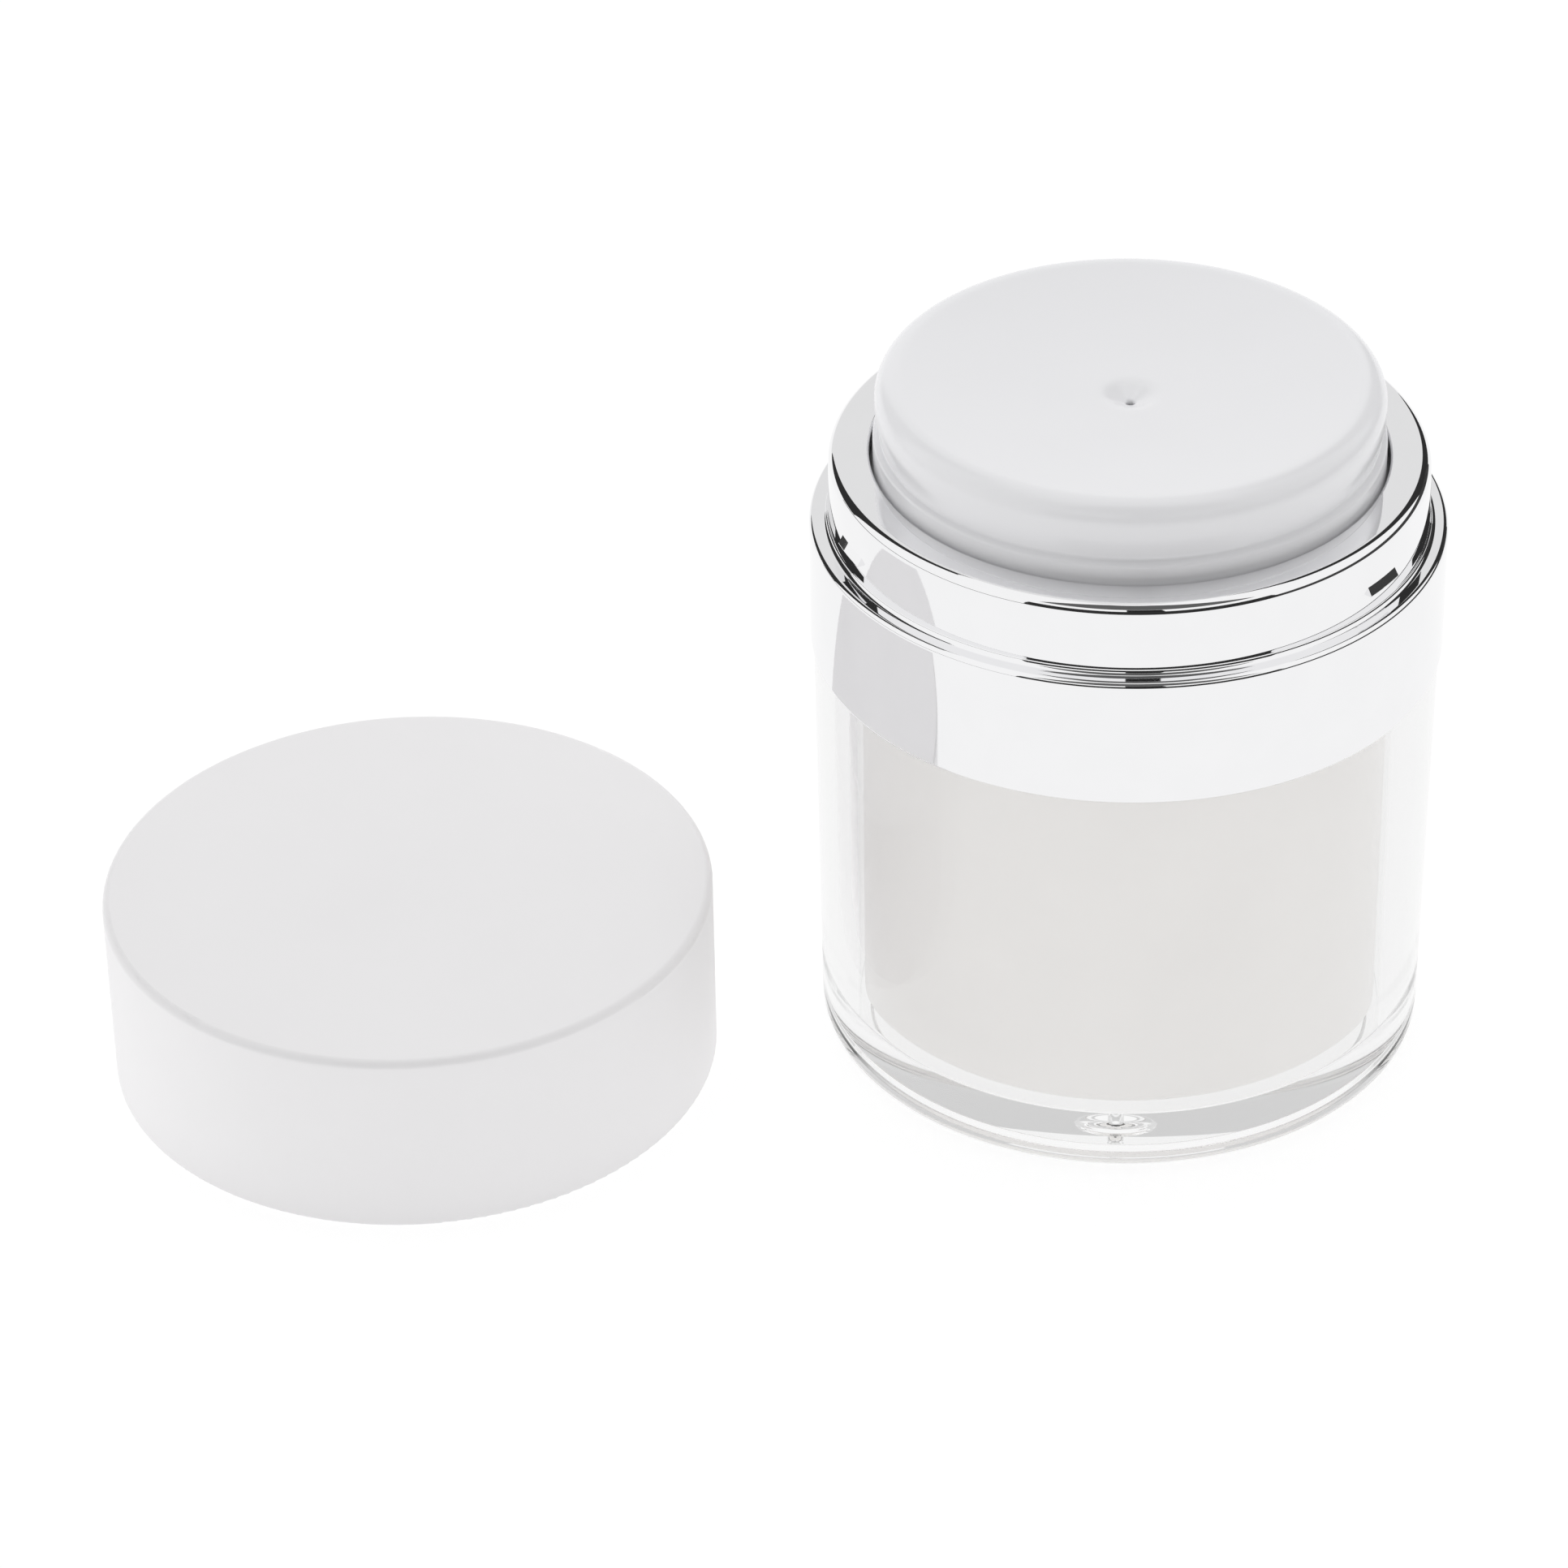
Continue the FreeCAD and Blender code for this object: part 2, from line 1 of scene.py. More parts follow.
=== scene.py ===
# %% [markdown]
# # An airless pump jar, dressed in Blender
# The jar comes from a CAD frame: every piece is already at its real place and size, in metres.
# This lesson gives each piece the surface that the real one has, lights it as a small product
# studio would, and looks at it from where the photographer stood.

# %% Load the frame
import json
import math

import bmesh
import bpy
from mathutils import Matrix, Vector


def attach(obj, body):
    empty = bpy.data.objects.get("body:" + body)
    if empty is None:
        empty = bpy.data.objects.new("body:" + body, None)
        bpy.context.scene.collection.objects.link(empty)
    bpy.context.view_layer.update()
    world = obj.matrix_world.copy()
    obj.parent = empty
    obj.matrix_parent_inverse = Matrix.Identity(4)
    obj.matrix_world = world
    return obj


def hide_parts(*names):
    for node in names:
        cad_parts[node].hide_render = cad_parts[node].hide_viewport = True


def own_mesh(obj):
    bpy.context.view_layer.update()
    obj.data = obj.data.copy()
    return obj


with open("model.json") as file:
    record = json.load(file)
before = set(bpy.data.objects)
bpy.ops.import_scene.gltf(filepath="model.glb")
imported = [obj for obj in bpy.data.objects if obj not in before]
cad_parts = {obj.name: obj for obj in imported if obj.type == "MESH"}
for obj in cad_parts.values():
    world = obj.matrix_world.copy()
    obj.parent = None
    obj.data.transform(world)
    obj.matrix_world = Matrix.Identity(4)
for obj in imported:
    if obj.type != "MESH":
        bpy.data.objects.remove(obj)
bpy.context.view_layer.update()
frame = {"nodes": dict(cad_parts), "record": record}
nodes = frame["nodes"]
MM = 0.001

# %% [markdown]
# ## The camera
# A long lens from a little above: the rims of the jar, collar, plate and cap are ellipses, and one
# camera makes all of them fall where they are seen. Its place, turn, tilt and roll are set as plain
# values, because the camera helpers of Blender don't know this square picture.

# %% Place the camera
camera_place = Vector((-81.93, -503.50, 370.45)) * MM
camera_turn = math.radians(-5.353)
camera_tilt = math.radians(34.04)
camera_roll = math.radians(-1.02)
camera_lens = 138.05

camera = bpy.data.objects.new("camera", bpy.data.cameras.new("camera"))
camera.data.lens = camera_lens
camera.data.clip_start = 10 * MM
turn = Matrix.Rotation(camera_turn, 4, "Z")
tilt = Matrix.Rotation(math.pi / 2 - camera_tilt, 4, "X")
roll = Matrix.Rotation(camera_roll, 4, "Z")
camera.matrix_world = Matrix.Translation(camera_place) @ turn @ tilt @ roll
bpy.context.collection.objects.link(camera)
bpy.context.scene.camera = camera
print("camera:", camera_lens, "mm lens,", round(camera_place.length / MM), "mm from the jar's foot")

# %% [markdown]
# ## Colours and nodes
# Colours are written as the hex values that an eye would pick on a screen, and one function turns
# them into the linear light that the renderer adds up. A second function adds a node to a material,
# sets its values and links its inputs, so that a material reads like a recipe.

# %% Helpers for materials
def linear(hex_code):
    """Linear RGBA of an sRGB hex colour."""
    channels = [int(hex_code[place:place + 2], 16) / 255 for place in (1, 3, 5)]
    return (*[c / 12.92 if c <= 0.04045 else ((c + 0.055) / 1.055) ** 2.4 for c in channels], 1)


def add_node(tree, kind, settings={}, inputs={}):
    """One node; an input takes a plain value or another node's output."""
    node = tree.nodes.new(kind)
    for name, value in settings.items():
        setattr(node, name, value)
    for name, value in inputs.items():
        if isinstance(value, bpy.types.NodeSocket):
            tree.links.new(value, node.inputs[name])
        else:
            node.inputs[name].default_value = value
    return node


def new_material(name):
    """A material with an empty recipe: its node tree and its one surface shader."""
    material = bpy.data.materials.new(name)
    material.use_nodes = True
    tree = material.node_tree
    tree.nodes.clear()
    surface = add_node(tree, "ShaderNodeBsdfPrincipled")
    add_node(tree, "ShaderNodeOutputMaterial", inputs={"Surface": surface.outputs["BSDF"]})
    return material, tree, surface


def scale_for(size_mm):
    """Texture scale at which one grain of a noise is this many millimetres across."""
    return 1 / (size_mm * MM)


print("white on a screen is", [round(c, 2) for c in linear("#E7E7E8")[:3]], "in linear light")

# %% [markdown]
# ## White plastics
# The cap, the press plate and the cup are injection-moulded polypropylene. A mould leaves three
# things that the eye reads as plastic: a colour that is nearly even, a gloss that differs a little
# from spot to spot, and a very fine grain where the steel was sparked instead of polished. Each is
# a noise at its own real scale. The grain of a sparked mould is about 0.1 mm; it is drawn at about
# 0.4 mm, because a finer one would vanish between two pixels.

# %% A recipe for moulded plastic
cloud_mm = 14.0
patch_mm = 3.0
grain_mm = 0.4
grain_detail = 3.0
gloss_spread = 0.1
light_depth_mm = 1.0
plastic_ior = 1.49


def moulded_plastic(name, colour, shade, roughness, grain_depth_mm, subsurface=0.0):
    """Moulded plastic with a cloudy colour, a patchy gloss and the grain of its mould."""
    material, tree, surface = new_material(name)
    place = add_node(tree, "ShaderNodeTexCoord").outputs["Object"]
    cloud = add_node(tree, "ShaderNodeTexNoise", inputs={
        "Vector": place, "Scale": scale_for(cloud_mm)})
    tone = add_node(tree, "ShaderNodeMix", {"data_type": "RGBA"}, {
        "Factor": cloud.outputs["Fac"], "A": linear(colour), "B": linear(shade)})
    patch = add_node(tree, "ShaderNodeTexNoise", inputs={
        "Vector": place, "Scale": scale_for(patch_mm)})
    gloss = add_node(tree, "ShaderNodeMapRange", inputs={
        "Value": patch.outputs["Fac"],
        "To Min": roughness * (1 - gloss_spread), "To Max": roughness * (1 + gloss_spread)})
    grain = add_node(tree, "ShaderNodeTexNoise", inputs={
        "Vector": place, "Scale": scale_for(grain_mm), "Detail": grain_detail})
    bump = add_node(tree, "ShaderNodeBump", inputs={
        "Height": grain.outputs["Fac"], "Distance": grain_depth_mm * MM, "Strength": 1.0})
    tree.links.new(tone.outputs["Result"], surface.inputs["Base Color"])
    tree.links.new(gloss.outputs["Result"], surface.inputs["Roughness"])
    tree.links.new(bump.outputs["Normal"], surface.inputs["Normal"])
    surface.inputs["IOR"].default_value = plastic_ior
    surface.inputs["Subsurface Weight"].default_value = subsurface
    surface.inputs["Subsurface Radius"].default_value = (light_depth_mm * MM,) * 3
    return material


cap_white = moulded_plastic("satin_white_polypropylene", "#EEEDEE", "#EBEAEB", 0.45, 0.004)
plate_white = moulded_plastic("gloss_white_polypropylene", "#EBEBED", "#E8E8EA", 0.22, 0.001)
cup_white = moulded_plastic("white_polypropylene", "#F4F2F0", "#F1EFED", 0.35, 0.002)
natural = moulded_plastic("natural_polypropylene", "#EDEDE8", "#E6E6E0", 0.35, 0.002,
                          subsurface=0.3)
soft = moulded_plastic("soft_polyethylene", "#EEEEEA", "#E7E7E2", 0.5, 0.003, subsurface=0.3)
rubber = moulded_plastic("pale_silicone_rubber", "#DBDBD8", "#D2D2CE", 0.6, 0.003, subsurface=0.1)
print("plastics:", cap_white.name, plate_white.name, cup_white.name)

# %% [markdown]
# ## Clear acrylic
# The outer jar is one thick piece of polished acrylic. Light bends on the way in and out, so the
# heavy base shows the studio as bright and grey bands. The surface is as smooth as its mould; only
# a slow wave of a few thousandths of a millimetre stays from the flow of the plastic, and the tint
# of the thick wall is a very pale grey.

# %% Acrylic for the jar
flow_mm = 9.0
flow_depth_mm = 0.002
acrylic_ior = 1.49
clear_acrylic, tree, surface = new_material("polished_clear_acrylic")
place = add_node(tree, "ShaderNodeTexCoord").outputs["Object"]
flow = add_node(tree, "ShaderNodeTexNoise", inputs={"Vector": place, "Scale": scale_for(flow_mm)})
tint = add_node(tree, "ShaderNodeMix", {"data_type": "RGBA"}, {
    "Factor": flow.outputs["Fac"], "A": linear("#F9F9F9"), "B": linear("#F6F6F6")})
wave = add_node(tree, "ShaderNodeBump", inputs={
    "Height": flow.outputs["Fac"], "Distance": flow_depth_mm * MM, "Strength": 1.0})
tree.links.new(tint.outputs["Result"], surface.inputs["Base Color"])
tree.links.new(wave.outputs["Normal"], surface.inputs["Normal"])
surface.inputs["Roughness"].default_value = 0.0
surface.inputs["IOR"].default_value = acrylic_ior
surface.inputs["Transmission Weight"].default_value = 1.0
print("clear:", clear_acrylic.name, "wave", flow_depth_mm, "mm deep")

# %% [markdown]
# ## Bright metals
# The collar is plastic with a film of aluminium from a vacuum chamber under a clear lacquer: a
# mirror, a little softer than polished chrome and brighter. Its gloss differs slightly from patch
# to patch, as lacquer does. The valve balls and the spring are drawn stainless steel, with a fine
# uneven shine.

# %% Metals for the collar and the spring
lacquer_detail = 2.0
lacquer_spread = 0.3


def bright_metal(name, colour, shade, patch_size_mm, roughness, peel_depth_mm):
    """Metal with a patchy tone, a patchy gloss and a slight unevenness like lacquer."""
    material, tree, surface = new_material(name)
    place = add_node(tree, "ShaderNodeTexCoord").outputs["Object"]
    patch = add_node(tree, "ShaderNodeTexNoise", inputs={
        "Vector": place, "Scale": scale_for(patch_size_mm), "Detail": lacquer_detail})
    tone = add_node(tree, "ShaderNodeMix", {"data_type": "RGBA"}, {
        "Factor": patch.outputs["Fac"], "A": linear(colour), "B": linear(shade)})
    gloss = add_node(tree, "ShaderNodeMapRange", inputs={
        "Value": patch.outputs["Fac"],
        "To Min": roughness * (1 - lacquer_spread), "To Max": roughness * (1 + lacquer_spread)})
    peel = add_node(tree, "ShaderNodeBump", inputs={
        "Height": patch.outputs["Fac"], "Distance": peel_depth_mm * MM, "Strength": 1.0})
    tree.links.new(tone.outputs["Result"], surface.inputs["Base Color"])
    tree.links.new(gloss.outputs["Result"], surface.inputs["Roughness"])
    tree.links.new(peel.outputs["Normal"], surface.inputs["Normal"])
    surface.inputs["Metallic"].default_value = 1.0
    return material


metallised = bright_metal("vacuum_metallised_aluminium", "#F4F4F5", "#F1F1F2", 4.0, 0.03, 0.0003)
steel = bright_metal("drawn_stainless_steel", "#CDCBC8", "#C3C1BE", 0.5, 0.2, 0.0005)
print("metals:", metallised.name, steel.name)

# %% [markdown]
# ## Dressing the pieces
# The frame names a material slot for each piece. A table from slot to finish dresses all of them
# in one loop, so a piece that is hidden in the pump is as finished as one in view.

# %% Dress the frame
finish_of_slot = {
    "clear_acrylic": clear_acrylic,
    "white_polypropylene": cup_white,
    "press_plate_white": plate_white,
    "cap_white": cap_white,
    "natural_polypropylene": natural,
    "soft_polyethylene": soft,
    "chrome_plating": metallised,
    "stainless_steel": steel,
    "sealing_rubber": rubber,
}
for piece in frame["record"]["subparts"]:
    nodes[piece["node"]].material_slots[0].material = finish_of_slot[piece["material_slot"]]

# %% [markdown]
# ## Jar and collar on the lathe
# Clear plastic and mirrors show every flat facet, so the jar and the collar are spun anew in fine
# steps from the CAD's half sections, with each edge rounded as a mould rounds it. All sizes are in
# millimetres. The jar stands on a ring, and its base is hollow by 0.8 mm inside that ring, with a
# gate recess and a small vent in the middle; the bright line low in the base is this step. Its rim
# ends 0.02 mm lower than in the CAD, so that it shares no face with the cup that rests there.

# %% A lathe for round pieces
arc_steps = 8
lathe_steps = 360


def half_section(corners):
    """Points through corners of (radius, height), or (radius, height, round) where rounded."""
    points = []
    for index, corner in enumerate(corners):
        here = Vector(corner[:2])
        if len(corner) == 2:
            points.append(here)
            continue
        back = (Vector(corners[index - 1][:2]) - here).normalized()
        ahead = (Vector(corners[(index + 1) % len(corners)][:2]) - here).normalized()
        half = back.angle(ahead) / 2
        arc_radius = corner[2]
        setback = arc_radius / math.tan(half)
        centre = here + (back + ahead).normalized() * (arc_radius / math.sin(half))
        first = here + back * setback - centre
        last = here + ahead * setback - centre
        sweep = first.angle_signed(last)
        for step in range(arc_steps + 1):
            points.append(centre + Matrix.Rotation(-sweep * step / arc_steps, 2) @ first)
    return points


def finish_piece(name, shape, material, body, node):
    """An object of this mesh, which stands for a CAD node and rides on its body."""
    bmesh.ops.recalc_face_normals(shape, faces=shape.faces)
    mesh = bpy.data.meshes.new(name)
    shape.to_mesh(mesh)
    shape.free()
    piece = bpy.data.objects.new(name, mesh)
    bpy.context.collection.objects.link(piece)
    piece.data.materials.append(material)
    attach(piece, body)
    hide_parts(node)
    return piece


def lathe(corners):
    """Mesh of a round piece, spun from its half section."""
    shape = bmesh.new()
    ring = [shape.verts.new((point.x * MM, 0, point.y * MM)) for point in half_section(corners)]
    sides = [shape.edges.new(pair) for pair in zip(ring, ring[1:] + ring[:1])]
    bmesh.ops.spin(shape, geom=ring + sides, axis=(0, 0, 1), cent=(0, 0, 0), angle=2 * math.pi,
                   steps=lathe_steps, use_merge=True)
    for face in shape.faces:
        face.smooth = True
    return shape


def keep_flats(piece):
    """Shade by the larger faces, so that flats stay flat beside their rounds."""
    weight = piece.modifiers.new("flat_faces_stay_flat", "WEIGHTED_NORMAL")
    weight.mode = "FACE_AREA"
    weight.keep_sharp = True


vent_radius = 0.5
gate_radius, gate_height = 2.4, 1.3
recess_radius, recess_height, recess_round = 25.6, 0.8, 0.2
foot_radius, foot_round = 30.85, 1.5
rim_radius, rim_height, rim_round = 31.35, 44.98, 0.3
bore_radius, bore_floor, bore_round = 26.9, 5.2, 0.4
jar_section = [
    (vent_radius, gate_height), (gate_radius, gate_height, recess_round),
    (gate_radius, recess_height, recess_round), (recess_radius, recess_height, recess_round),
    (recess_radius, 0, recess_round), (foot_radius, 0, foot_round),
    (rim_radius, rim_height, rim_round), (bore_radius, rim_height, rim_round),
    (bore_radius, bore_floor, bore_round), (vent_radius, bore_floor),
]
jar = finish_piece("clear_jar", lathe(jar_section), clear_acrylic,
                   "jar_body", "outer_jar")
keep_flats(jar)
print("jar:", len(jar.data.polygons), "faces")

# %% [markdown]
# The collar is a band, a ledge and a neck. Three snap lugs stand on the neck, short bars with a
# ramp on top, over which the rim of the cap slides until its groove catches them. They are built
# into the same mesh, since they are moulded in one piece with it. The ramp leans just so far that
# it mirrors the dark side of the room: the dark dash at the right.

# %% The collar with its lugs
lug_count = 3
lug_first = -43.6
lug_arc = 9.0
lug_steps = 12
lug_root = 29.2
lug_foot, lug_foot_radius, lug_foot_round = 60.9, 30.3, 0.1
lug_top, lug_top_radius, lug_top_round = 61.9, 29.72, 0.06
lug_section = [
    (lug_root, lug_foot), (lug_foot_radius, lug_foot, lug_foot_round),
    (lug_top_radius, lug_top, lug_top_round), (lug_root, lug_top),
]


def add_lug(shape, bearing):
    """A short bar around the neck, its section carried along an arc."""
    rows = []
    for step in range(lug_steps + 1):
        angle = math.radians(bearing + lug_arc * (step / lug_steps - 0.5))
        rows.append([shape.verts.new((point.x * MM * math.cos(angle),
                                      point.x * MM * math.sin(angle), point.y * MM))
                     for point in half_section(lug_section)])
    for left, right in zip(rows, rows[1:]):
        for index in range(len(left)):
            shape.faces.new((left[index - 1], left[index], right[index], right[index - 1]))
    shape.faces.new(rows[0])
    shape.faces.new(rows[-1])


band_bore, band_radius = 30.15, 31.65
band_foot, band_foot_round = 45.05, 0.15
ledge_height, ledge_round = 58.6, 0.6
neck_foot_radius = 29.85
neck_top_radius, neck_top, neck_top_round = 29.65, 66.05, 1.15
mouth_radius, mouth_round = 25.65, 0.3
neck_bore, neck_bore_top, neck_bore_round = 28.15, 64.6, 0.3
band_bore_top = 57.2
collar_section = [
    (band_bore, band_foot), (band_radius, band_foot, band_foot_round),
    (band_radius, ledge_height, ledge_round), (neck_foot_radius, ledge_height, ledge_round),
    (neck_top_radius, neck_top, neck_top_round), (mouth_radius, neck_top, mouth_round),
    (mouth_radius, neck_bore_top), (neck_bore, neck_bore_top, neck_bore_round),
    (neck_bore, band_bore_top), (band_bore, band_bore_top),
]
shape = lathe(collar_section)
for index in range(lug_count):
    add_lug(shape, lug_first + index * 360 / lug_count)
collar = finish_piece("mirror_collar", shape, metallised,
                      "collar_unit", "collar")
keep_flats(collar)
print("collar:", len(collar.data.polygons), "faces,", lug_count, "lugs")

# %% [markdown]
# ## The press plate
# The plate is a shell with a dished top that leads a fingertip to the middle, where a soft dimple
# holds the dispensing hole. Low on its wall the button turns in a little above its skirt, and the
# crease between them is the soft dark arc at the front. Dish and outer round share a tangent at the
# crest, so the gloss runs over it without a break.

# %% Turn the press plate
head_radius = 25.1
head_round = 2.2
head_top = 74.1
head_dish = 2.1
crest_steps = 24
dish_steps = 40
dimple_radius = 2.8
dimple_depth = 1.0
dimple_round = 4.0
orifice_radius = 0.4
orifice_round = 0.5
dish_start = 4.48
turn_in_height, turn_in_round = 70.6, 6.0
crease_radius, crease_height, crease_round = 24.6, 68.2, 0.3
skirt_radius, skirt_top, skirt_round, skirt_foot = 25.3, 67.8, 0.4, 64.2
brim_radius, brim_top, brim_foot = 26.4, 63.45, 62.6
shell_radius, shell_top, shell_round = 23.8, 72.5, 1.3
seat_radius, seat_height = 6.1, 70.0
socket_radius, socket_bore, socket_foot = 4.2, 2.65, 65.0

dish_bottom = head_top - head_dish
round_radius = head_radius - head_round
dish_radius = (round_radius ** 2 - 2 * head_round * head_dish + head_dish ** 2) / (2 * head_dish)
dish_middle = Vector((0, dish_bottom + dish_radius))
round_middle = Vector((round_radius, head_top - head_round))
crest = round_middle + (dish_middle - round_middle).normalized() * head_round


def dish_height(radius):
    """Height of the dish at this distance from the axis."""
    return dish_middle.y - math.sqrt(dish_radius ** 2 - radius ** 2)


plate_section = [
    (orifice_radius, seat_height), (orifice_radius, dish_bottom - dimple_depth, orifice_round),
    (dimple_radius, dish_height(dimple_radius), dimple_round),
]
for step in range(dish_steps + 1):
    radius = dish_start + (crest.x - dish_start) * step / dish_steps
    plate_section.append((radius, dish_height(radius)))
crest_angle = math.atan2(crest.y - round_middle.y, crest.x - round_middle.x)
for step in range(1, crest_steps + 1):
    angle = crest_angle * (1 - step / crest_steps)
    plate_section.append((round_middle.x + head_round * math.cos(angle),
                          round_middle.y + head_round * math.sin(angle)))
plate_section += [
    (head_radius, turn_in_height, turn_in_round), (crease_radius, crease_height, crease_round),
    (skirt_radius, skirt_top, skirt_round), (skirt_radius, skirt_foot),
    (brim_radius, brim_top), (brim_radius, brim_foot), (shell_radius, brim_foot),
    (shell_radius, shell_top, shell_round), (seat_radius, seat_height),
    (socket_radius, seat_height), (socket_radius, socket_foot),
    (socket_bore, socket_foot), (socket_bore, seat_height),
]
plate = finish_piece("dished_press_plate", lathe(plate_section), plate_white,
                     "press_head", "press_plate")
keep_flats(plate)
print("plate:", len(plate.data.polygons), "faces, dish of", round(dish_radius), "mm radius")

# %% [markdown]
# ## The return spring
# A spring is a wire that was wound on a rod, so it is a small circle carried along a helix. It
# stands on the stem guide, and the plate presses on it.

# %% Wind the spring
wire_radius = 0.45
coil_radius = 5.2
coil_bottom = 58.85
coil_top = 69.95
coil_turns = 5.5
coil_steps = 48
wire_steps = 12

shape = bmesh.new()
rings = []
rise = coil_top - coil_bottom - 2 * wire_radius
for step in range(int(coil_turns * coil_steps) + 1):
    angle = 2 * math.pi * step / coil_steps
    height = coil_bottom + wire_radius + rise * step / (coil_turns * coil_steps)
    ring = []
    for wire_step in range(wire_steps):
        around = 2 * math.pi * wire_step / wire_steps
        radius = (coil_radius + wire_radius * math.cos(around)) * MM
        ring.append(shape.verts.new((radius * math.cos(angle), radius * math.sin(angle),
                                     (height + wire_radius * math.sin(around)) * MM)))
    rings.append(ring)
for lower, upper in zip(rings, rings[1:]):
    for index in range(wire_steps):
        side = shape.faces.new((lower[index - 1], lower[index], upper[index], upper[index - 1]))
        side.smooth = True
shape.faces.new(rings[0])
shape.faces.new(rings[-1])
spring = finish_piece("wound_spring", shape, steel,
                      "pump_unit", "return_spring")
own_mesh(spring)
print("spring:", coil_turns, "turns,", len(spring.data.polygons), "faces")

# %% [markdown]
# ## The white table
# The picture was taken on a white table that is lit so strongly that it has no shade but a faint
# one right under the jar. The floor is matt white and glows a little, as a table lit from all
# sides does; most of what the camera sees of it is an even white. In the collar's mirror it is a
# full white. Seen through the clear jar, its glow is painted stronger inside a disc round the
# jar's foot: a painted pool of light for the light that the jar gathers like a lens.

# %% Floor
floor_drop = 0.2 * MM
floor_radius = 2.0
floor_steps = 96
floor_white = "#F6F6F6"
table_glow = 0.6
camera_share = 0.85
seen_white = 0.95
white_in_mirror = 1.0
# Painted pool of light under the jar: the floor's glow for rays through the jar, and the radii over
# which it fades to the even white.
painted_white_under_jar = 1.0
painted_pool_start, painted_pool_end = 28 * MM, 35 * MM

floor_mesh = bpy.data.meshes.new("studio_floor")
shape = bmesh.new()
bmesh.ops.create_circle(shape, cap_ends=True, segments=floor_steps, radius=floor_radius)
shape.to_mesh(floor_mesh)
shape.free()
floor = bpy.data.objects.new("studio_floor", floor_mesh)
floor.location = (0, 0, -floor_drop)
bpy.context.collection.objects.link(floor)

floor_material, tree, surface = new_material("white_studio_floor")
surface.inputs["Base Color"].default_value = linear(floor_white)
surface.inputs["Roughness"].default_value = 1.0
surface.inputs["Specular IOR Level"].default_value = 0.0
surface.inputs["Emission Color"].default_value = (1, 1, 1, 1)
surface.inputs["Emission Strength"].default_value = table_glow
path = add_node(tree, "ShaderNodeLightPath")
distance = add_node(tree, "ShaderNodeVectorMath", {"operation": "LENGTH"}, {
    0: add_node(tree, "ShaderNodeTexCoord").outputs["Object"]})
# Painted light: for rays through the jar, the floor glows stronger inside a disc under it.
painted_pool_under_jar = add_node(tree, "ShaderNodeMapRange", inputs={
    "Value": distance.outputs["Value"], "From Min": painted_pool_start, "From Max": painted_pool_end,
    "To Min": painted_white_under_jar, "To Max": seen_white})
in_mirror = add_node(tree, "ShaderNodeMapRange", inputs={
    "Value": path.outputs["Is Glossy Ray"], "To Min": seen_white, "To Max": white_in_mirror})
strength = add_node(tree, "ShaderNodeMapRange", inputs={
    "Value": path.outputs["Is Transmission Ray"], "To Min": in_mirror.outputs["Result"],
    "To Max": painted_pool_under_jar.outputs["Result"]})
glow = add_node(tree, "ShaderNodeEmission", inputs={
    "Color": (1, 1, 1, 1), "Strength": strength.outputs["Result"]})
mirrored = add_node(tree, "ShaderNodeMath", {"operation": "MAXIMUM"}, {
    0: path.outputs["Is Glossy Ray"], 1: path.outputs["Is Transmission Ray"]})
share = add_node(tree, "ShaderNodeMath", {"operation": "MULTIPLY_ADD"}, {
    0: path.outputs["Is Camera Ray"], 1: camera_share, 2: mirrored.outputs[0]})
both = add_node(tree, "ShaderNodeMixShader", inputs={
    0: share.outputs[0], 1: surface.outputs["BSDF"], 2: glow.outputs["Emission"]})
output = [node for node in tree.nodes if node.type == "OUTPUT_MATERIAL"][0]
tree.links.new(both.outputs[0], output.inputs["Surface"])
floor_mesh.materials.append(floor_material)
print("floor:", floor_white, "and a glow of", table_glow)

# %% [markdown]
# ## The white room
# Whatever looks straight at the room finds plain white. As a lamp it is weaker in front, where the
# photographer stands, than at the back and at both sides, which is why the front walls of the
# pieces are darker than their tops and flanks. One big softbox hangs over the table, a little
# towards the back.

# %% World and lamp
front_fill = 0.23
back_fill = 0.8
side_fill = 0.4
softbox_place = (0, 0.25, 1.1)
softbox_size = 0.9
softbox_watts = 4.95

world = bpy.data.worlds.new("white_studio")
world.use_nodes = True
tree = world.node_tree
tree.nodes.clear()
path = add_node(tree, "ShaderNodeLightPath")
seen = add_node(tree, "ShaderNodeMath", {"operation": "MAXIMUM"}, {
    0: path.outputs["Is Camera Ray"], 1: path.outputs["Is Glossy Ray"]})
seen = add_node(tree, "ShaderNodeMath", {"operation": "MAXIMUM"}, {
    0: seen.outputs[0], 1: path.outputs["Is Transmission Ray"]})
heading = add_node(tree, "ShaderNodeSeparateXYZ", inputs={
    "Vector": add_node(tree, "ShaderNodeTexCoord").outputs["Generated"]})
fill = add_node(tree, "ShaderNodeMapRange", inputs={
    "Value": heading.outputs["Y"], "From Min": -1.0, "From Max": 1.0,
    "To Min": front_fill, "To Max": back_fill})
sideways = add_node(tree, "ShaderNodeMath", {"operation": "MULTIPLY"}, {
    0: heading.outputs["X"], 1: heading.outputs["X"]})
fill = add_node(tree, "ShaderNodeMath", {"operation": "MULTIPLY_ADD"}, {
    0: sideways.outputs[0], 1: side_fill, 2: fill.outputs["Result"]})
level = add_node(tree, "ShaderNodeMapRange", inputs={
    "Value": seen.outputs[0], "To Min": fill.outputs[0], "To Max": 1.0})
sky = add_node(tree, "ShaderNodeBackground", inputs={
    "Color": (1, 1, 1, 1), "Strength": level.outputs["Result"]})
add_node(tree, "ShaderNodeOutputWorld", inputs={"Surface": sky.outputs["Background"]})
bpy.context.scene.world = world

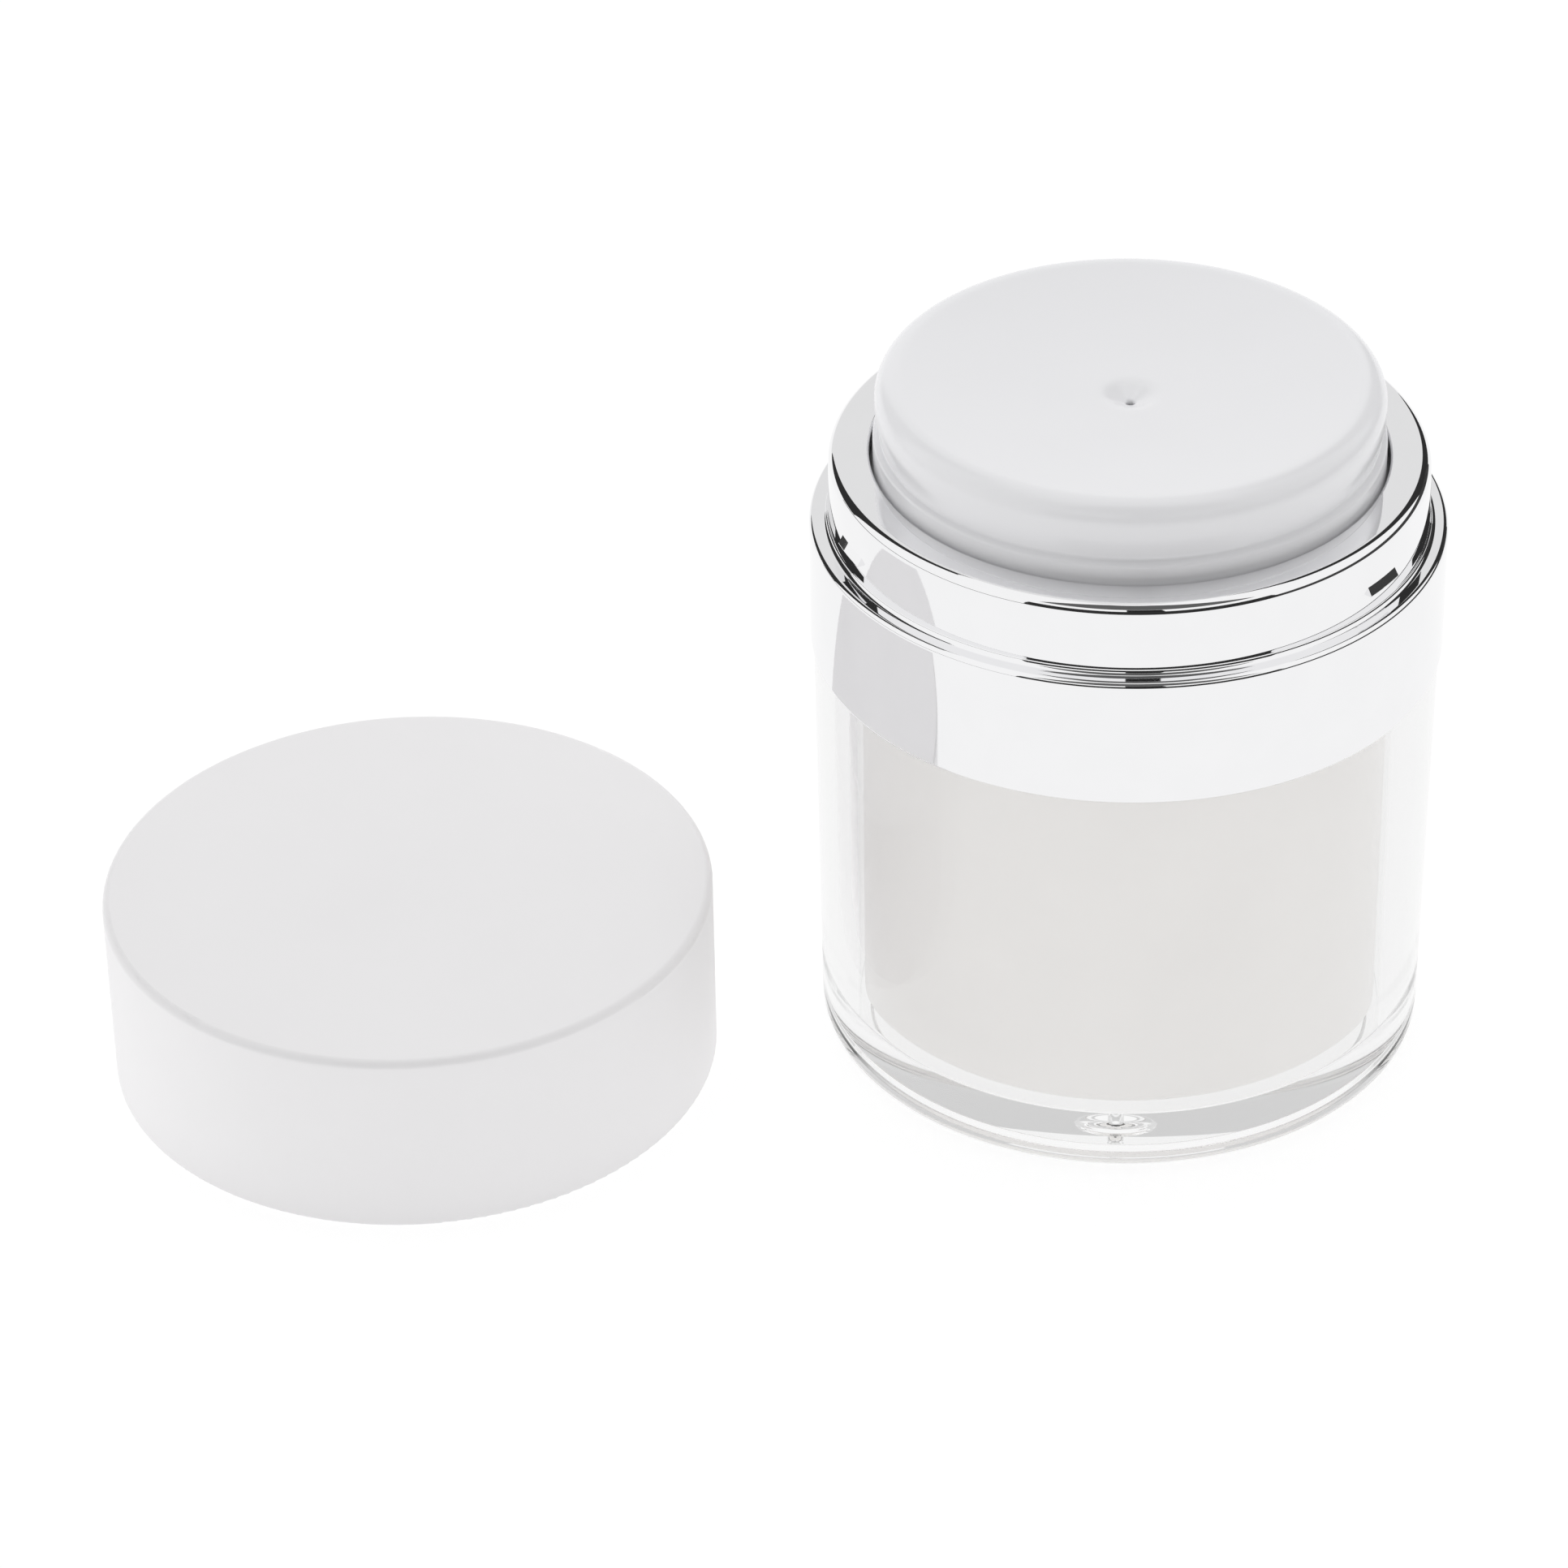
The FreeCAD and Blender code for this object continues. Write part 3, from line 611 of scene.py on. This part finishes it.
softbox = bpy.data.lights.new("overhead_softbox", "AREA")
softbox.shape = "SQUARE"
softbox.size = softbox_size
softbox.energy = softbox_watts
softbox_lamp = bpy.data.objects.new("overhead_softbox", softbox)
softbox_lamp.location = softbox_place
softbox_lamp.visible_glossy = False
bpy.context.collection.objects.link(softbox_lamp)
print("light: room", front_fill, "to", back_fill, "softbox", softbox_watts, "W")

# %% [markdown]
# ## What the mirror sees
# A mirror has no look of its own: its lines are the dark things in the studio. The thin lines on
# the collar's rounded edges tell where they stood: a pale grey backdrop with a dark gap at each
# side, a dark room low in front and at both sides, a dim ceiling over the photographer, and the
# camera itself, the small blob in the middle. Each is a curved card that only reflections see.
# One more card, a grey one, is seen only through the clear plastic: the grey crescent in the base.

# %% Cards
card_distance = 1.2
card_steps = 24


def studio_card(name, bearing, spread, low, high, tone, through_glass=True, mirrored=True):
    """A curved card that lights nothing; bearing from the back, clockwise, in degrees."""
    shape = bmesh.new()
    rows = []
    for step in range(card_steps + 1):
        angle = math.radians(bearing + spread * (2 * step / card_steps - 1))
        row = []
        for rise in range(card_steps + 1):
            height = math.radians(low + (high - low) * rise / card_steps)
            flat = card_distance * math.cos(height)
            row.append(shape.verts.new((flat * math.sin(angle), flat * math.cos(angle),
                                        card_distance * math.sin(height))))
        rows.append(row)
    for left, right in zip(rows, rows[1:]):
        for index in range(card_steps):
            shape.faces.new((left[index], right[index], right[index + 1], left[index + 1]))
    mesh = bpy.data.meshes.new(name)
    shape.to_mesh(mesh)
    shape.free()
    card = bpy.data.objects.new(name, mesh)
    bpy.context.collection.objects.link(card)
    material = bpy.data.materials.new(name)
    material.use_nodes = True
    tree = material.node_tree
    tree.nodes.clear()
    glow = add_node(tree, "ShaderNodeEmission", inputs={"Color": (1, 1, 1, 1), "Strength": tone})
    add_node(tree, "ShaderNodeOutputMaterial", inputs={"Surface": glow.outputs["Emission"]})
    mesh.materials.append(material)
    card.visible_camera = False
    card.visible_diffuse = False
    card.visible_shadow = False
    card.visible_transmission = through_glass
    card.visible_glossy = mirrored
    return card


cards = [
    studio_card("grey_backdrop", 0, 26, 3, 85, 0.82, through_glass=False),
    studio_card("shaded_backdrop", 0, 80, 3, 85, 0.66, mirrored=False),
    studio_card("left_gap", -41, 15, 6, 62, 0.03, through_glass=False),
    studio_card("right_gap", 41, 15, 6, 62, 0.03, through_glass=False),
    studio_card("camera_front", 182, 7, 26, 44, 0.02, through_glass=False),
    studio_card("front_horizon", 180, 45, 0, 28, 0.03, through_glass=False),
    studio_card("right_horizon", 90, 45, 0, 18, 0.05, through_glass=False),
    studio_card("left_horizon", -92, 45, 0, 3, 0.05, through_glass=False),
    studio_card("front_ceiling", 180, 45, 45, 85, 0.12, through_glass=False),
]
print("cards:", len(cards))

# %% [markdown]
# ## How colours are kept
# The standard view shows a colour as it was written. The jar needs many bounces, since a ray runs
# along the base from wall to wall; fewer would leave it black.

# %% View and bounces
bpy.context.scene.view_settings.view_transform = "Standard"
cycles = bpy.context.scene.cycles
cycles.blur_glossy = 0.0
cycles.max_bounces = 32
cycles.glossy_bounces = 24
cycles.transmission_bounces = 32
print("bounces:", cycles.max_bounces)
